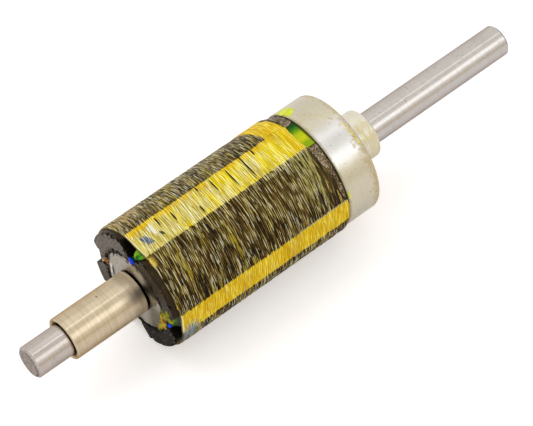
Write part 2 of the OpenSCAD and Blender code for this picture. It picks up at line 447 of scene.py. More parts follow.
def chipped_magnet(number, turn):
    source = solids[f"magnet_{number}"]
    block = copy_of(source, f"chipped_magnet_{number}")
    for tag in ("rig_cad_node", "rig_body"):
        if tag in block:
            del block[tag]
    block.parent = None
    only(block)
    with editing():
        bpy.ops.mesh.remove_doubles(threshold=0.002 * MM)
    stations = points(block)[:, 0]
    front = keep_between(copy_of(block, "front_end"), None, SHOWN_FRONT)
    rear = keep_between(copy_of(block, "rear_end"), SHOWN_REAR, None)
    keep_between(block, SHOWN_FRONT, SHOWN_REAR)
    for shown in (front, rear):
        chip(shown, number, turn, stations.min(), stations.max())
    only(block, front, rear)
    bpy.ops.object.join()
    bpy.ops.object.shade_smooth_by_angle(angle=radians(40))
    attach(block, "root")
    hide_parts(source.name)
    return block


magnets = [chipped_magnet(n + 1, radians(45 + 90 * n)) for n in range(4)]

sinter = Finish("sintered_magnet", "magnet", metallic=0.7, specular_ior_level=0.12)
x, y, z = sinter.x, sinter.y, sinter.z
grit = sinter.grain(7, 3)
patchy = sinter.grain(0.9, 3, seed=4)
striae = sinter.grain((9, 0.5), 2, seed=5)
speckled = sinter.grain(2.6, 3, seed=13)
crumbly = sinter.grain(1.7, 3, seed=9) - 0.5
flecks = sinter.cells((11, 5), 7)
ends = sinter.facing_end()
# painted shade: the near lower faces are darker and less metallic; painted light: the far faces are
# paler, speckled with grit
painted_shade_under = y.rise(0, -1) * z.rise(1.5, 0.5)
painted_light_faces = y.rise(0.2, 0.7) * z.rise(-5, 0) * ends
painted_light_colour = sinter.mix((grit * 0.35 + speckled * 0.65).rise(0.40, 0.61),
                         (0.060, 0.045, 0.031), (0.235, 0.187, 0.14))
nicks = sinter.cells(5, 11).rise(0.93, 0.95) * ends
rust = sinter.grain(2.2, 2, seed=6).rise(0.60, 0.72) * 0.5
# the backs that show behind the winding carry painted glints, like broken metal, and painted light that
# grows towards the top
lit = (sinter.grain((0.7, 0.35), 2, seed=12) + z * 0.02).rise(0.45, 0.68)
rind = sinter.shades(flecks * 0.75 + lit * 0.25,
                     (0.25, (0.040, 0.024, 0.012)), (0.55, (0.18, 0.118, 0.050)),
                     (0.80, (0.34, 0.26, 0.16)), (0.96, (0.60, 0.52, 0.42)))
cleft = (sinter.reach + crumbly * 2.2).rise(6.72, 6.62) * ends
# painted shade: the flanks that face into the gaps are near black
painted_shade_flank = (1 - ends) * sinter.reach.rise(9.3, 9.15)
block_colour = layered(
    sinter.mix(grit * 0.5 + patchy * 0.5, (0.006, 0.004, 0.002), (0.065, 0.045, 0.022)),
    (painted_shade_under * 0.85, (0.007, 0.005, 0.002)),
    (painted_light_faces * 0.85, painted_light_colour),
    (nicks * 0.5, (0.32, 0.27, 0.22)),
    (rust, (0.14, 0.06, 0.02)),
    ((1 - ends) * x.rise(2, 3), rind),
    (cleft * 0.92, (0.005, 0.004, 0.003)),
    (painted_shade_flank * 0.95, (0.004, 0.003, 0.002)),
    (x.rise(6.12, 6.3) * 0.9, (0.010, 0.006, 0.003)))
sinter.feed("Base Color", block_colour)
sinter.feed("Metallic", 0.7 - painted_shade_under * ends * 0.6)
sinter.feed("Roughness", 0.28 + grit * 0.3 + painted_shade_under * 0.2)
sinter.bump(grit * 0.6 + (striae + flecks) * (1 - ends) * 0.5 + patchy * 0.5, 0.03)
sinter.on(*magnets)

# ---------------------------------------------------------------- adhesive beds
# The thin film of cured adhesive under each magnet, which stops short of the core's face.
# It shows only as a dull line between the core and the magnets.
def mottled(name, slot, fine, detail, stops, gloss, deep, seed=0, warp=0, **plain):
    """A finish that one noise varies; gloss is its roughness and how much the noise adds to it."""
    finish = Finish(name, slot, **plain)
    spots = finish.grain(fine, detail, seed=seed, warp=warp)
    finish.feed("Base Color", finish.shades(spots, *stops))
    finish.feed("Roughness", gloss[0] + spots * gloss[1])
    if deep:
        finish.bump(spots, deep)
    return finish


mottled("adhesive_film", "adhesive", 4, 2,
        ((0.35, (0.05, 0.035, 0.02)), (0.65, (0.34, 0.27, 0.12))), (0.35, 0.3), 0.03).on(
    *[solids[f"adhesive_bed_{n}"] for n in range(1, 5)])

# ---------------------------------------------------------------- gap resin
# Resin that was poured into the wedge between two magnets before winding.
# It is green in three gaps and amber in the far one, and it shrank back as it set.
FRONT_FACE = -24.9 * MM
GAP_ROOT = 6.647 * MM
REAR_FACE = 6.5 * MM
RESIN_TOP = 9.07 * MM


def started(primitive, **sizes):
    """A new primitive, with nothing else selected."""
    bpy.ops.object.select_all(action="DESELECT")
    primitive(**sizes)
    return bpy.context.object


def drawn_rim(piece):
    """Extrudes the open rim of the active piece in place, and gives the rim's new points."""
    with editing():
        bpy.ops.mesh.region_to_loop()
        bpy.ops.mesh.extrude_edges_move()
    return [point for point in piece.data.vertices if point.select]


def grid(name, along, across):
    sheet = started(bpy.ops.mesh.primitive_grid_add, x_subdivisions=along, y_subdivisions=across,
                    size=1)
    sheet.name = name
    return sheet


def face_outward():
    bpy.ops.mesh.select_all(action="SELECT")
    bpy.ops.mesh.normals_make_consistent(inside=False)


def resin_fill(number, front, lip, climb, hollow):
    """front, lip and climb shape the meniscus; hollow says how far it draws back from side to side."""
    fill = grid(f"resin_fill_{number}", 60, 28)
    turn = radians(90 * (number - 1))
    places = points(fill)
    along, across = places[:, 0] + 0.5, places[:, 1] * 2
    x = front + (REAR_FACE - front) * along ** 2.4
    lumps = rough(np.stack((x, across * 2 * MM, 0 * x), 1), 1.3 * MM, number)
    drawn = hollow(across)
    ramp = np.clip((x - front - drawn) / climb, 0, 1)
    ramp = ramp * ramp * (3 - 2 * ramp)
    foot = lip * np.clip(1.15 - drawn / (2 * MM), 0.15, 1)
    height = foot + (RESIN_TOP - GAP_ROOT - foot) * ramp
    height += (lumps * 0.18 + across ** 2 * 0.25) * MM * (1 - ramp)
    low = np.clip(1 - (x - front) / (0.12 * MM), 0, 1)
    height = np.clip(height * (1 - 0.25 * low), 0.15 * MM, RESIN_TOP - GAP_ROOT)
    y, z = GAP_ROOT + height, across * height * 0.995
    put_points(fill, np.stack((x, y * cos(turn) - z * sin(turn), y * sin(turn) + z * cos(turn)), 1))
    only(fill)
    root = Vector((0, cos(turn), sin(turn))) * (GAP_ROOT + 0.02 * MM)
    for point in drawn_rim(fill):
        point.co.y, point.co.z = root.y, root.z
    with editing(False):
        bpy.ops.mesh.remove_doubles(threshold=0.004 * MM)
        face_outward()
    bpy.ops.object.shade_smooth_by_angle(angle=radians(60))
    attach(fill, "root")
    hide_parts(f"gap_resin_{number}")
    return fill


fills = [
    resin_fill(1, FRONT_FACE, 0.9 * MM, 2.2 * MM, lambda t: 0.2 * MM * (1 - t)),
    resin_fill(2, -24.45 * MM, 1.35 * MM, 0.9 * MM, lambda t: 5 * MM * np.clip(-t * 3 + 0.2, 0, 1)),
    resin_fill(3, FRONT_FACE, 1.5 * MM, 1.2 * MM, lambda t: 3.5 * MM * np.clip(t * 1.6 - 0.1, 0, 1)),
    resin_fill(4, -24.5 * MM, 1.0 * MM, 2.0 * MM, lambda t: 0.5 * MM * (1 + t)),
]

resin = Finish("green_resin", "resin", specular_ior_level=0.14)
x, y, z = resin.x, resin.y, resin.z
pour = resin.grain((0.9, 1.1), 3, seed=1, warp=0.6)
bubble = resin.blot(z, y, (8.0, -0.75), (0.30, 0.22), 0.5) * x.rise(-23, -23.3)
near_side = y.rise(-5, -7)
green = layered(
    resin.shades(pour, (0.34, (0.008, 0.10, 0.001)), (0.50, (0.045, 0.30, 0.001)),
                 (0.66, (0.22, 0.42, 0.002))),
    (bubble * 0.9, (0.004, 0.03, 0.012)),
    # near gap: yellower towards the top; the darker bottom and front are painted shade in the hollow
    # under the winding
    (near_side * z.rise(0.2, 1.6) * 0.7, (0.24, 0.33, 0.003)),
    (near_side * z.rise(1.0, -0.1) * 0.85, (0.004, 0.03, 0.001)),
    (near_side * x.rise(-25.0, -24.2) * 0.92, (0.004, 0.025, 0.001)),
    # painted shade: near black where the resin runs in under the winding
    (x.rise(-24.1, -23.75) * 0.97, (0.0015, 0.002, 0.001)))
# behind the winding it is thick, and runs from yellow to deep green across the gap
rear_green = layered(
    resin.shades(y * 0.22 + (pour - 0.5) * 0.25 + 0.5,
                 (0.16, (0.26, 0.38, 0.0003)), (0.36, (0.60, 0.60, 0.0003)),
                 (0.58, (0.40, 0.50, 0.0003)), (0.78, (0.05, 0.22, 0.0005)),
                 (0.92, (0.006, 0.06, 0.001))),
    (x.rise(6.1, 6.32) * 0.85, (0.02, 0.02, 0.002)))
resin.feed("Base Color", green.covered(x.rise(2, 4), rear_green))
resin.feed("Roughness", 0.12 + pour * 0.15)
resin.bump(pour, 0.08)
resin.on(*fills[1:])

amber = mottled("amber_resin", "amber_resin", 1.1, 3,
                ((0.34, (0.16, 0.045, 0.004)), (0.46, (0.50, 0.15, 0.005)),
                 (0.54, (0.74, 0.40, 0.015)), (0.66, (0.50, 0.42, 0.16))),
                (0.15, 0.2), 0.08, seed=1, warp=0.8, specular_ior_level=0.2)
amber.on(fills[0])

# ---------------------------------------------------------------- sealant drops
# Two drops of blue thread sealant that landed at the foot of the top and the near gap.
# Each dried as an uneven glossy bead.
BEAD_AT = -24.92


def blue_bead(number, lobes):
    """Overlapping lobes on the front face, each a y, a z and a radius in millimetres."""
    grown = []
    for n, (y, z, size) in enumerate(lobes):
        lobe = started(bpy.ops.mesh.primitive_ico_sphere_add, subdivisions=4, radius=size * MM)
        places = points(lobe)
        places *= (1 + 0.12 * rough(places, 0.4 * MM, number + n, 2))[:, None] * np.array((0.75, 1, 1))
        put_points(lobe, places + np.array((BEAD_AT, y, z)) * MM)
        grown.append(lobe)
    only(*grown)
    bpy.ops.object.join()
    bead = bpy.context.object
    bead.name = f"blue_bead_{number}"
    remesh(bead, 0.035 * MM)
    bpy.ops.object.shade_smooth()
    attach(bead, "root")
    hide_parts(f"sealant_drop_{number}")
    return bead


beads = [
    blue_bead(1, ((0.22, 7.08, 0.30), (-0.16, 6.82, 0.42), (0.12, 6.66, 0.24))),
    blue_bead(2, ((-7.66, -0.36, 0.34), (-7.45, -0.75, 0.14))),
]
sealant = Finish("blue_sealant", "sealant", specular_ior_level=0.2)
clots = sealant.grain(3, 2)
sealant.feed("Base Color", sealant.mix(clots, (0.0005, 0.018, 0.55), (0.002, 0.07, 0.90)))
sealant.feed("Roughness", 0.1 + clots * 0.15)
sealant.bump(clots, 0.03)
sealant.on(*beads)

# ---------------------------------------------------------------- fibre winding
# Aramid yarn, wound over the magnets to hold them at speed and soaked in clear resin.
# It lies dark on the magnets and golden where it spans the resin in a gap.
ALONG, ROUND = 264, 320
YARN_FRONT, YARN_REAR = -24.0 * MM, 5.4 * MM
YARN_ROUND, YARN_FLAT, YARN_MEAN = 9.75 * MM, 9.49 * MM, 9.6 * MM
YARN_REACH, YARN_SKIN = 9.517 * MM, 0.41 * MM
RUN_OUT, RUN_OUT_AT = 9.65 * tan(radians(3.8)) * MM, radians(215)
FLYAWAYS, GAP_EDGE = 260, 14.5


def yarn_surface(angle):
    """Radius of the winding: round over the magnets, flat across the gaps."""
    off = (angle + pi / 4) % (pi / 2) - pi / 4
    flat, arc = YARN_FLAT / np.cos(off), YARN_ROUND
    share = np.clip(0.5 + 0.5 * (flat - arc) / (0.06 * MM), 0, 1)
    return flat + (arc - flat) * share - 0.06 * MM * share * (1 - share)


def yarn_end(angle):
    """Where the last turn lies: out of square, short over the top gap and further over the near one."""
    short = 0.5 * MM * np.exp(-((angle - radians(106)) / radians(28)) ** 4)
    over_near = 0.45 * MM * np.exp(-((angle % (2 * pi) - radians(176)) / radians(15)) ** 4)
    return YARN_REAR + RUN_OUT * np.cos(angle - RUN_OUT_AT) - short + over_near


def new_curve(name, thick, bevel):
    curve = bpy.data.curves.new(name, "CURVE")
    curve.dimensions, curve.bevel_depth = "3D", thick
    curve.bevel_resolution, curve.use_fill_caps = bevel, True
    return curve


def as_mesh(curve):
    only(in_scene(bpy.data.objects.new(curve.name, curve)))
    bpy.ops.object.convert(target="MESH")
    return bpy.context.object


winding = grid("yarn_winding", ALONG, ROUND)
flat = points(winding)
share, angle = flat[:, 0] + 0.5, (flat[:, 1] + 0.5) * 2 * pi
degrees = np.degrees(angle)
around = np.stack((0 * angle, np.cos(angle), np.sin(angle)), 1)
girth = around * YARN_MEAN
rear = yarn_end(angle) + rough(girth, 1.1 * MM, 3, 4) * 0.12 * MM
front = YARN_FRONT + rough(girth, 2.5 * MM, 5, 3) * 0.05 * MM
station = front + (rear - front) * share
skein = np.stack((station - 0.04 * girth[:, 1], girth[:, 1], girth[:, 2]), 1)
tows = rough(skein, np.array((0.6, 16, 16)) * MM, 1, 2) * 0.03
strands = rough(skein, np.array((0.26, 7, 7)) * MM, 2, 1) * 0.022
# the last turns over the top far magnet overlap the ones before them
lip = (station / MM - 0.35 - 0.035 * (degrees - 46)) / 0.25
lifted = np.clip(lip, 0, 1) * np.clip((degrees - 20) / 8, 0, 1) * np.clip((76 - degrees) / 6, 0, 1)
hem = 0.10 * np.exp(-(station - front) / (0.12 * MM)) + 0.08 * np.exp(-(rear - station) / (0.15 * MM))
tube = around * (yarn_surface(angle) + (tows + strands + 0.07 * lifted - hem) * MM)[:, None]
tube[:, 0] = station
tube[:, 1:] = np.clip(tube[:, 1:], -YARN_REACH, YARN_REACH)
put_points(winding, tube)
only(winding)
with editing():
    bpy.ops.mesh.remove_doubles(threshold=0.003 * MM)
for point in drawn_rim(winding):
    here = atan2(point.co.z, point.co.y)
    deep = float(yarn_surface(np.array(here))) - YARN_SKIN
    point.co.y, point.co.z = deep * cos(here), deep * sin(here)
with editing(False):
    bpy.ops.mesh.bridge_edge_loops()
    face_outward()
bpy.ops.object.shade_smooth_by_angle(angle=radians(50))
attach(winding, "root")
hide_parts("fibre_winding")

random.seed(41)
flyaways = new_curve("loose_fibres", 0.024 * MM, 0)
for n in range(FLYAWAYS):
    long = random.uniform(1.5, 6.5) * MM
    if n % 3:
        start = radians(90 * random.randrange(4) + random.choice((-GAP_EDGE, GAP_EDGE))
                        + random.gauss(0, 2.5))
    else:
        start = random.uniform(0, 2 * pi)
    begin = start - random.uniform(0.2, 0.8) * long / YARN_MEAN
    at = random.uniform(-23.7, 4.4) * MM
    slant, bow = random.gauss(0, 0.05), random.gauss(0, 0.12) * MM
    tail = random.uniform(-0.03, 0.05) * MM
    fibre = flyaways.splines.new("POLY")
    fibre.points.add(8)
    for k, knot in enumerate(fibre.points):
        s = k / 8
        here = begin + s * long / YARN_MEAN
        out = float(yarn_surface(np.array(here))) + 0.012 * MM + tail * (2 * s - 1) ** 4
        y, z = (max(-YARN_FLAT, min(YARN_FLAT, c)) for c in (out * cos(here), out * sin(here)))
        knot.co = (at + slant * s * long + bow * s * s, y, z, 1)
        knot.radius = 0.6 + 1.6 * s * (1 - s)
loose = as_mesh(flyaways)
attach(loose, "root")

yarn = Finish("aramid_yarn", "yarn", specular_ior_level=0.07)
x, y, z = yarn.x, yarn.y, yarn.z
wander = yarn.grain((0.05, 0.07), 2) - 0.5
lean = x.rise(-5, -24) * 0.13 + 0.02
run = x - y * lean + wander * 0.5
cross_run = x + wander * 0.8 - y * 0.09 + z * 0.05
combed, crossed = (yarn.node("CombineXYZ", (), {0: way, 1: y, 2: z}) for way in (run, cross_run))
hair = yarn.grain((11, 0.7), 1, place=combed) - 0.5
strand = yarn.grain((5, 0.36), 1, seed=1, place=combed) - 0.5
tow = yarn.grain((0.9, 0.14), 2, seed=2, place=crossed)
dash = yarn.cells((9.5, 0.52), 3, combed)
thread = yarn.cells((14, 0.80), 4, crossed)
glint = yarn.cells((11, 0.85), 5, combed)
mood = yarn.grain((0.30, 0.13), 2, seed=4) - 0.5
cloud = yarn.grain((0.55, 0.35), 2, seed=6) - 0.5
comb = (run * 22 + tow * 9 + mood * 30 + 15).through("SINE")
lay = dash * 0.54 + thread * 0.38 + comb * 0.14 + 0.03


# where the yarn spans a gap, overlaps itself or is soaked at the front corner, it is golden
frayed = (thread - 0.5) * 0.004 + strand * 0.010 + hair * 0.010
high, wide = z / yarn.reach, y / yarn.reach
top_gap, low_gap, far_gap = ((way + frayed).rise(0.9665, 0.9700) for way in (high, high * -1, wide))
facing_near = high * 0.0715 - wide * 0.9974 + frayed
near_gap = facing_near.rise(0.9755, 0.9790)
side_gaps = near_gap.joined(far_gap)
gaps = top_gap.joined(low_gap, side_gaps)
on_far_side = y.rise(2, 4) * z.rise(2, 4)
lip_line = x - 0.35 - (high - 0.72) * 3 + strand * 0.8
lip_tail = x - 4.2 - (high - 0.85) * 2.4 + strand * 0.5
overlap = lip_line.rise(0, 0.25) * y.rise(1, 3) * z.rise(2, 4) * lip_tail.rise(0.1, -0.1)
front_corner = yarn.blot(x + (dash - 0.5) * 0.8, y, (-23.85, -3.5), (0.38, 0.75), 0.9, 0.4)
front_corner = front_corner * z.rise(6, 8)
golden = gaps.joined(overlap, front_corner)

dim = (lay + cloud * 0.35 + mood * 0.3 - 0.036
       + z.rise(4.5, 8.5) * y.rise(0, -1) * 0.06 + z.rise(-1, -2) * 0.06)
tawny = yarn.grain((1.2, 0.5), 2, seed=8).rise(0.56, 0.66)
gilt = tow.rise(0.56, 0.64) * lay.rise(0.38, 0.56)
sunlit = x.rise(-17, -21) * on_far_side * high.rise(0.93, 0.84)
sunlit = sunlit * (cloud * 0.4 + thread * 0.6).rise(0.16, 0.46)
# pale dashes all over, and more on the far side, where they are painted sheen
pale = glint.rise(0.93, 0.95) + glint.rise(0.80, 0.83) * y.rise(2, 7) * 0.6
olive = (x + mood * 3).rise(0.0, 1.6) * (lay * 0.3 + thread * 0.7).rise(0.42, 0.72)
olive = olive * z.rise(3, 8) * y.rise(2, 0)
near_top = y.rise(0, -1) * z.rise(0, 1)
past_line = x - 4.75 - y * 0.19 + strand * 0.5
edge_line = past_line.rise(-0.22, -0.05) * past_line.rise(0.10, 0) * near_top
last_turn = yarn.shades(glint, (0.5, (0.018, 0.010, 0.004)), (0.85, (0.09, 0.05, 0.015)),
                        (0.95, (0.55, 0.36, 0.06)))
on_magnet = layered(
    yarn.shades(dim, (0.24, (0.004, 0.0024, 0.001)), (0.44, (0.022, 0.0122, 0.0025)),
                (0.60, (0.084, 0.050, 0.008)), (0.74, (0.22, 0.148, 0.026)),
                (0.95, (0.72, 0.61, 0.25))),
    (tawny * 0.55, (0.10, 0.048, 0.008)),
    (gilt * 0.75, (0.42, 0.31, 0.020)),
    (sunlit * 0.75, (0.56, 0.36, 0.12)),
    # painted sheen: paler threads on the far upper side, where the yarn catches the light
    (on_far_side * glint.rise(0.45, 0.75) * 0.30, (0.62, 0.52, 0.22)),
    (pale * 0.8, (0.62, 0.57, 0.38)),
    (olive * 0.75, (0.52, 0.46, 0.14)),
    (past_line.rise(0, 0.25) * near_top * 0.85, last_turn),
    (edge_line * 0.65, (0.48, 0.42, 0.12)))

even = lay * 0.85 + strand * 0.25 + 0.06
sun, cream, honey = (yarn.shades(even, *zip((0.20, 0.45, 0.62, 0.80), colours)) for colours in (
    ((0.50, 0.31, 0.002), (0.82, 0.64, 0.004), (0.90, 0.76, 0.04), (0.97, 0.92, 0.42)),
    ((0.34, 0.23, 0.02), (0.62, 0.51, 0.10), (0.78, 0.68, 0.20), (0.96, 0.92, 0.62)),
    ((0.58, 0.31, 0.001), (0.72, 0.445, 0.001), (0.83, 0.58, 0.002), (0.96, 0.82, 0.14))))
rear_share = (x + mood * 16).rise(-21, 3)
clouded = (cloud * 0.5 + tow * 0.5 + (rear_share - 0.5) * 0.16).rise(0.17, 0.33)
warm_band = (high + cloud * 0.03).rise(0.994, 0.976) * y.rise(0, 1) * mood.rise(-0.10, 0.02)
last_turns = x.rise(2.6, 4.0) * top_gap * 0.8
warmer = side_gaps.joined(overlap * 0.3, warm_band, last_turns, front_corner * 0.5)
over_gap = cream.covered(clouded, sun).covered(warmer, honey)

# what lies along the edges of the gaps and of the winding itself
# painted highlight along the top band's lower edge, where the yarn bends over a magnet's corner
top_edge_highlight = high.rise(0.938, 0.952) * y.rise(0, -1) * (1 - top_gap)
top_edge_highlight = top_edge_highlight * (strand + cloud * 0.3).rise(0, 0.08) * x.rise(-5.5, -3)
rim = x.rise(-23.78, -23.88) * gaps.joined(thread.rise(0.60, 0.75) * 0.7)
outward = y.through("ABSOLUTE").joined(z.through("ABSOLUTE"), yarn.reach * (YARN_FLAT / YARN_ROUND))
inner_turns = x.rise(-23.84, -23.90) * outward.rise(9.42, 9.36)
# painted highlight along the near band's upper edge
near_edge_highlight = facing_near.rise(0.9715, 0.9750) * (1 - near_gap) * z.rise(0, 1) * x.rise(-4, -1)


def strokes(slope, ragged, soft, *marks):
    """Short lines across the yarn, each its place along and across, half width and half length."""
    return sum(yarn.blot(x - (y - mid) * slope, y, (at, mid), (width, half), ragged, soft)
               for at, mid, width, half in marks)


# a worker's ink mark, a dot and a wash of the same ink, painted highlights of shine on the resin, and
# painted shade in the slits between tows
on_top = z.rise(8, 9)
streaks = (strand * 0.5 + hair * 0.5).rise(0, 0.08)
ink = (x + y * 0.31 + hair * 0.3).between(-22.8, -21.75, 0.06) * y.between(-1.15, 0.55, 0.1) * on_top
dot = yarn.blot(x + y * 0.3, y, (-19.98, -0.68), (0.25, 0.42), 0.7) * on_top
shine = strokes(0.10, 0.3, 0.25, (-20.35, 0.75, 0.10, 1.1), (-20.62, 0.55, 0.09, 0.95),
                (-20.9, 1.0, 0.08, 0.6)) * on_top
wash = (x - z * 0.15 + strand * 1.2).between(-23.7, -21.3, 0.06) * y.rise(-8, -9)
wash = wash * (z + (dash - 0.5) * 1.4).between(-3.4, 0.0, 0.1)
SLITS = ((-3.73, 0.7, 2.6), (-6.55, 0.42, 1.65), (-9.32, 1.0, 1.25), (-19.13, 1.34, 0.8),
         (-16.82, 0.55, 0.85), (-13.1, -1.2, 0.7), (-1.6, 1.9, 0.6), (-11.6, 2.0, 0.45))
slit_shade = strokes(0.04, 0.15, 0.12, *[(at, mid, 0.12, half) for at, mid, half in SLITS]) * on_top
colour = layered(
    on_magnet,
    (golden, over_gap),
    (top_edge_highlight * 0.85, (0.74, 0.68, 0.36)),
    (rim * 0.85, (0.88, 0.80, 0.42)),
    (inner_turns * 0.9, (0.16, 0.10, 0.025)),
    (near_edge_highlight * 0.7, (0.66, 0.58, 0.28)),
    (ink * 0.96, yarn.mix(streaks, (0.032, 0.052, 0.11), (0.46, 0.50, 0.54))),
    (dot * 0.9, (0.022, 0.035, 0.018)),
    (shine * 0.85, (0.92, 0.94, 0.92)),
    (wash * (streaks * 0.4 + 0.52), (0.13, 0.20, 0.26)),
    (slit_shade, (0.008, 0.005, 0.003)))
yarn.feed("Base Color", colour)
yarn.feed("Roughness", 0.6 - lay * 0.2)
yarn.bump(hair * 0.5 + strand * 0.8 + dash * 0.25 + tow * 0.5 - slit_shade * 1.5, 0.07)
yarn.on(winding)

mottled("loose_fibre", "yarn", (0.9, 0.5), 1,
        ((0.35, (0.30, 0.19, 0.03)), (0.5, (0.66, 0.50, 0.12)), (0.62, (0.86, 0.80, 0.58))),
        (0.4, 0.2), 0).on(loose)

# ---------------------------------------------------------------- end ring
# An aluminium balance ring pressed on behind the magnets, turned to a satin finish.
# Resin wicked along its rear rim and left a sandy stain; a few pits are scattered round it.
RING_RADIUS = 9.48 * MM
ring = Finish("ring_metal", "ring_metal", metallic=1)
x, y, z = ring.x, ring.y, ring.z
turning = ring.grain((9, 0.16), 3)
bloom = ring.grain(0.35, 3, seed=1)
mottle = ring.grain(1.6, 4, seed=2)
facing_key = (z * 0.906 - y * 0.423) / (RING_RADIUS / MM)
# painted highlight: paler, cooler metal on the side that faces the highlight at about 115 degrees
key_sheen = (facing_key + (bloom - 0.5) * 0.06).rise(0.91, 0.985)
wick = (x + (mottle - 0.5) * 3.0 + (bloom - 0.5) * 1.6 + y.rise(1, -5) * 0.6).rise(11.15, 12.3)
speckle = ring.grain(7, 2, seed=5).rise(0.47, 0.58)
freckles = ring.grain(3.2, 2, seed=9).rise(0.62, 0.70) * (1 - key_sheen) * 0.35
front_rim = (x + (mottle - 0.5) * 0.8).rise(6.9, 6.6)
pits = ring.grain(2.4, 1, seed=3).rise(0.745, 0.78)
sheen = turning * 0.5 + bloom * 0.5
satin = layered(
    ring.mix(sheen, (0.57, 0.505, 0.365), (0.77, 0.705, 0.54)),
    (key_sheen, ring.mix(sheen, (0.64, 0.61, 0.56), (0.85, 0.82, 0.78))),
    (wick * (0.3 + speckle * 0.65), (0.46, 0.33, 0.12)),
    (freckles, (0.46, 0.37, 0.19)),
    (front_rim * 0.6, (0.42, 0.36, 0.16)),
    (pits * 0.7, (0.12, 0.10, 0.07)))
ring.feed("Base Color", satin)
ring.feed("Roughness", 0.24 + bloom * 0.14 + wick * 0.3)
ring.feed("Metallic", 1 - wick * 0.6)
ring.bump(turning - pits * 2 + mottle * wick, 0.008)
ring.on(solids["end_ring"])

# ---------------------------------------------------------------- rear collar
# A short steel collar that the rear bearing runs up against.
# Handling left it mottled with a thin yellow-green skin of resin.
collar = Finish("collar_steel", "collar_steel", metallic=1)
brush = collar.grain((11, 0.3), 3)
skin = collar.grain((1.0, 0.8), 4, seed=1)
freckle = collar.grain((4, 3), 2, seed=2)
bare = collar.mix(brush * 0.9 + skin * 0.3 - 0.1, (0.64, 0.59, 0.455), (0.97, 0.925, 0.77))
# the stain is heavier towards the near side and the rear
near_rear_share = collar.y.rise(1.0, -1.5) * collar.x.rise(12.4, 15)
stain = (skin * 0.35 + brush * 0.45 + freckle * 0.2 + near_rear_share * 0.16).rise(0.58, 0.74)
stained = collar.mix(freckle, (0.56, 0.42, 0.13), (0.84, 0.73, 0.36))
collar.feed("Base Color", bare.covered(stain * 0.75, stained))
collar.feed("Roughness", 0.36 + stain * 0.25)
collar.feed("Metallic", 1 - stain * 0.5)
collar.bump(brush * 0.5 + stain, 0.015)
collar.on(solids["rear_collar"])

# ---------------------------------------------------------------- stray glue
# Resin smeared while the rotor was built: two skins and a thread on the ring, a bead on its rim.
# Crumbs of it and of dirt are stuck to the front face and to the front edge of the yarn.
PER_DEGREE = 9.5 * pi / 180
RIM_CURVE = 11.7


def glue_smear(name, corners, thick, seed):
    """A thin skin on the ring between four corners, each an x in millimetres and an angle in degrees."""
    skin = grid(name, 36, 36)
    places = points(skin)
    u, v = places[:, :1] + 0.5, places[:, 1:2] + 0.5
    a, b, c, d = (np.array(corner, float) for corner in corners)
    spot = (a * (1 - u) + b * u) * (1 - v) + (d * (1 - u) + c * u) * v
    wavy = np.hstack((spot * np.array((1, PER_DEGREE)), 0 * u)) * MM
    edge = 16 * (u * (1 - u) * v * (1 - v))[:, 0]
    spot[:, 0] += rough(wavy, 0.7 * MM, seed) * 0.35
    spot[:, 1] += rough(wavy, 0.7 * MM, seed + 1) * 2.2
    height = thick * np.clip(edge * 3, 0, 1) * (0.75 + 0.35 * rough(wavy, 0.5 * MM, seed + 2))
    out = RING_RADIUS - 0.012 * MM + height
    turn = np.radians(spot[:, 1])
    place = np.stack((spot[:, 0] * MM, out * np.cos(turn), out * np.sin(turn)), 1)
    place[:, 1:] = np.clip(place[:, 1:], -YARN_REACH, YARN_REACH)
    put_points(skin, place)
    only(skin)
    for point in drawn_rim(skin):
        point.co.y *= 0.995
        point.co.z *= 0.995
    with editing(False):
        bpy.ops.mesh.edge_face_add()
        bpy.ops.mesh.select_all(action="SELECT")
        bpy.ops.mesh.quads_convert_to_tris(quad_method="BEAUTY", ngon_method="BEAUTY")
        face_outward()
    bpy.ops.object.shade_smooth_by_angle(angle=radians(50))
    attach(skin, "root")
    return skin


def glue_thread(name, knots, thick, seed, step=0.25):
    """A bead of glue through knots on the ring, each an x in millimetres and an angle in degrees."""
    random.seed(seed)
    way = []
    for (x0, a0), (x1, a1) in zip(knots, knots[1:]):
        count = max(2, int(hypot(x1 - x0, (a1 - a0) * PER_DEGREE) / step))
        way += [(x0 + (x1 - x0) * k / count, a0 + (a1 - a0) * k / count) for k in range(count)]
    way.append(knots[-1])
    bead = new_curve(name, thick, 2)
    thread = bead.splines.new("POLY")
    thread.points.add(len(way) - 1)
    for k, (knot, (x, a)) in enumerate(zip(thread.points, way)):
        wave = noise.noise(Vector((k * 0.35, seed, 0)))
        out = RING_RADIUS - thick * 0.45 - max(0, x - RIM_CURVE) * 0.7 * MM
        turn = radians(a + wave * 1.2)
        knot.co = ((x + wave * 0.12) * MM, out * cos(turn), out * sin(turn), 1)
        from_end = min(k, len(way) - 1 - k)
        knot.radius = random.uniform(0.5, 1.25) * min(1, 0.35 + from_end * 0.3)
    piece = as_mesh(bead)
    bpy.ops.object.shade_smooth()
    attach(piece, "root")
    return piece


smears = [
    glue_smear("glue_smear_far", ((6.56, 44), (8.0, 42), (8.75, 58), (6.56, 71)), 0.035 * MM, 11),
    glue_smear("glue_smear_near", ((6.56, 158), (7.0, 159), (7.1, 165), (6.56, 167)), 0.035 * MM, 12),
]
mottled("fluorescent_glue", "resin", 1.1, 3,
        ((0.35, (0.52, 0.60, 0.001)), (0.6, (0.76, 0.80, 0.002))),
        (0.2, 0.2), 0.02, specular_ior_level=0.2).on(*smears)

threads = [
    glue_thread("glue_thread_top", ((7.4, 69), (9.3, 83), (10.3, 93), (10.95, 100)), 0.045 * MM, 21),
    glue_thread("glue_bead_rim", ((10.95, 100), (11.35, 107), (11.5, 114), (11.55, 124), (11.8, 132)),
                0.14 * MM, 22),
]
mottled("yellow_glue", "adhesive", 1.6, 3,
        ((0.38, (0.42, 0.28, 0.02)), (0.55, (0.80, 0.66, 0.03)),
         (0.68, (0.84, 0.78, 0.30))),
        (0.25, 0.2), 0.03, coat_weight=0.4, coat_roughness=0.15).on(*threads)


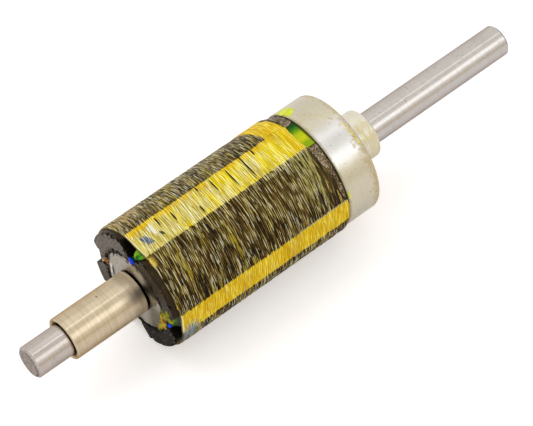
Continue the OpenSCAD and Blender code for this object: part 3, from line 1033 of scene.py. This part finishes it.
def crumbs(name, count, seed, x, arc, reach, size):
    """Small lumps at one station, between two angles in degrees and two radii in millimetres."""
    random.seed(seed)
    grown = []
    for n in range(count):
        lump = started(bpy.ops.mesh.primitive_ico_sphere_add, subdivisions=2,
                       radius=random.uniform(*size) * MM)
        places = points(lump)
        places *= (1 + 0.45 * rough(places, 0.12 * MM, seed + n, 2))[:, None]
        places *= np.array((0.55, random.uniform(0.7, 1.5), random.uniform(0.7, 1.5)))
        turn, out = radians(random.uniform(*arc)), random.uniform(*reach) * MM
        places += np.array((x * MM, out * cos(turn), out * sin(turn)))
        put_points(lump, places)
        grown.append(lump)
    only(*grown)
    bpy.ops.object.join()
    heap = bpy.context.object
    heap.name = name
    bpy.ops.object.shade_smooth()
    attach(heap, "root")
    return heap


crust = Finish("ochre_resin", "resin", specular_ior_level=0.12)
tint = crust.grain(1.1, 3, warp=0.5)
mossy = (crust.z + (tint - 0.5) * 4).rise(0.6, 1.6)
moss = crust.shades(tint, (0.40, (0.05, 0.09, 0.004)), (0.60, (0.26, 0.30, 0.010)))
reddish = crust.blot(crust.y, crust.z, (-6.7, -0.1), (0.5, 0.6), 1.0, 0.3)
ochre = layered(
    crust.shades(tint, (0.34, (0.10, 0.05, 0.004)), (0.46, (0.40, 0.30, 0.004)),
                 (0.58, (0.62, 0.44, 0.006)), (0.72, (0.20, 0.20, 0.006))),
    (mossy * 0.8, moss),
    (reddish * 0.85, (0.26, 0.055, 0.010)))
crust.feed("Base Color", ochre)
crust.feed("Roughness", 0.15 + tint * 0.2)
crust.bump(tint, 0.04)
crust.on(
    crumbs("glue_crumbs_near", 26, 31, -24.96, (161, 175), (6.5, 8.2), (0.20, 0.42)),
    crumbs("glue_crumbs_near_foot", 24, 39, -24.96, (172, 198), (5.9, 6.8), (0.20, 0.40)),
    crumbs("glue_crumbs_near_edge", 24, 32, -24.94, (197, 219), (5.95, 6.35), (0.14, 0.32)),
    crumbs("glue_crumbs_olive", 8, 36, -24.9, (159, 166), (7.4, 8.1), (0.14, 0.26)))
amber.on(crumbs("glue_crumbs_far", 9, 33, -24.93, (0, 12), (6.0, 6.5), (0.07, 0.15)))

mottled("golden_resin", "resin", 1.6, 2,
        ((0.36, (0.14, 0.05, 0.005)), (0.48, (0.50, 0.27, 0.01)),
         (0.60, (0.74, 0.52, 0.03))), (0.3, 0.3), 0.03, specular_ior_level=0.3).on(
    crumbs("glue_crumbs_yarn", 14, 37, -24.0, (103, 114), (9.45, 9.66), (0.07, 0.16)),
    crumbs("glue_crumbs_yarn_low", 12, 38, -24.0, (152, 165), (9.42, 9.64), (0.07, 0.15)))
sinter.on(crumbs("dark_crumbs_far", 34, 34, -24.92, (28, 84), (6.05, 6.45), (0.04, 0.12)),
          crumbs("dark_crumbs_near", 30, 35, -24.92, (186, 215), (6.05, 6.45), (0.04, 0.12)))

# ---------------------------------------------------------------- studio
# A white table in a light tent: even light all round, a large key behind and a fill in front.
# The metal mirrors the tent, a window, three strips and a warm card.
FLOOR = packed_box[0][2]
TABLE_SIZE = 6
TENT, TENT_IN_METAL = 0.78, 0.92


def ray_share(tree, camera, glossy, rest=0):
    """A strength that adds to the rest for what the camera sees and for what metal mirrors."""
    seen = tree.nodes.new("ShaderNodeLightPath")
    strength = tree.nodes.new("ShaderNodeValue").outputs[0]
    strength.default_value = rest
    for ray, share in (("Is Glossy Ray", glossy), ("Is Camera Ray", camera)):
        step = tree.nodes.new("ShaderNodeMath")
        step.operation, step.inputs[1].default_value = "MULTIPLY_ADD", share
        tree.links.new(seen.outputs[ray], step.inputs[0])
        tree.links.new(strength, step.inputs[2])
        strength = step.outputs[0]
    return strength


table = started(bpy.ops.mesh.primitive_grid_add, x_subdivisions=4, y_subdivisions=4, size=TABLE_SIZE,
                location=(0, 0, FLOOR))
table.name = "table"
bpy.ops.object.transform_apply(location=True, rotation=True, scale=True)
paper = Finish("white_table", base_color=(0.86, 0.855, 0.885, 1), roughness=1, specular_ior_level=0)
strength = Wire(paper, ray_share(paper.tree, 0.388, 0.06))
glow = paper.node("Emission", (), {"Color": (1, 0.94, 0.86, 1), "Strength": strength})
total = paper.node("AddShader", (), {0: Wire(paper, paper.shader.outputs[0]), 1: glow})
paper.tree.links.new(total.socket, paper.tree.nodes["Material Output"].inputs["Surface"])
paper.on(table)

world = bpy.data.worlds.new("studio")
bpy.context.scene.world = world
world.use_nodes = True
tree = world.node_tree
backdrop = tree.nodes["Background"]
backdrop.inputs["Color"].default_value = (1, 1, 1, 1)
tree.links.new(ray_share(tree, 1 - TENT, TENT_IN_METAL - TENT, TENT), backdrop.inputs["Strength"])


def lamp(name, at, size, radiance, mirrored=True, lights=True, tone=(1, 1, 1)):
    """A rectangular softbox that faces the rotor's axis, with its place and size in millimetres."""
    data = bpy.data.lights.new(name, "AREA")
    data.shape, data.size, data.size_y = "RECTANGLE", size[0] * MM, size[1] * MM
    data.energy = radiance * pi * data.size * data.size_y
    data.color = tone
    box = in_scene(bpy.data.objects.new(name, data))
    box.location = Vector(at) * MM
    box.rotation_euler = (atan2(-at[1], at[2]), 0, 0)
    box.visible_camera, box.visible_glossy, box.visible_diffuse = False, mirrored, lights


lamp("key", (-170, 260, 420), (340, 340), 2.0, mirrored=False)
lamp("fill", (-150, -420, 260), (300, 300), 0.82, mirrored=False)
lamp("window", (110, 190, 400), (170, 240), 0.26, lights=False, tone=(0.90, 1, 1.15))
lamp("strip_front", (230, -371, 371), (320, 235), 0.85, tone=(0.95, 1, 1.07))
lamp("strip_top_front", (85, 12, 410), (110, 44), 1.5, lights=False, tone=(0.95, 1, 1.10))
lamp("strip_top_rear", (230, 12, 410), (160, 42), 0.8, lights=False, tone=(0.95, 1, 1.10))

card = started(bpy.ops.mesh.primitive_plane_add, size=1, location=(150 * MM, -560 * MM, 75 * MM),
               rotation=(pi / 2, 0, 0))
card.name = "warm_card"
card.scale = (900 * MM, 150 * MM, 1)
bpy.ops.object.transform_apply(location=True, rotation=True, scale=True)
card.visible_camera = card.visible_diffuse = card.visible_shadow = False
Finish("warm_card", base_color=(0, 0, 0, 1), emission_color=(0.74, 0.67, 0.54, 1),
       emission_strength=1).on(card)

VIEW_AT = (-154.25, -203.66, 332.53)
VIEW_TURN = (37.14, 2.314, -39.97)
lens = bpy.data.cameras.new("camera")
lens.lens, lens.sensor_width, lens.clip_start = 199.4, 36, 0.01
camera = in_scene(bpy.data.objects.new("camera", lens))
camera.location = Vector(VIEW_AT) * MM
camera.rotation_euler = [radians(a) for a in VIEW_TURN]
bpy.context.scene.camera = camera
bpy.context.scene.view_settings.view_transform = "Standard"
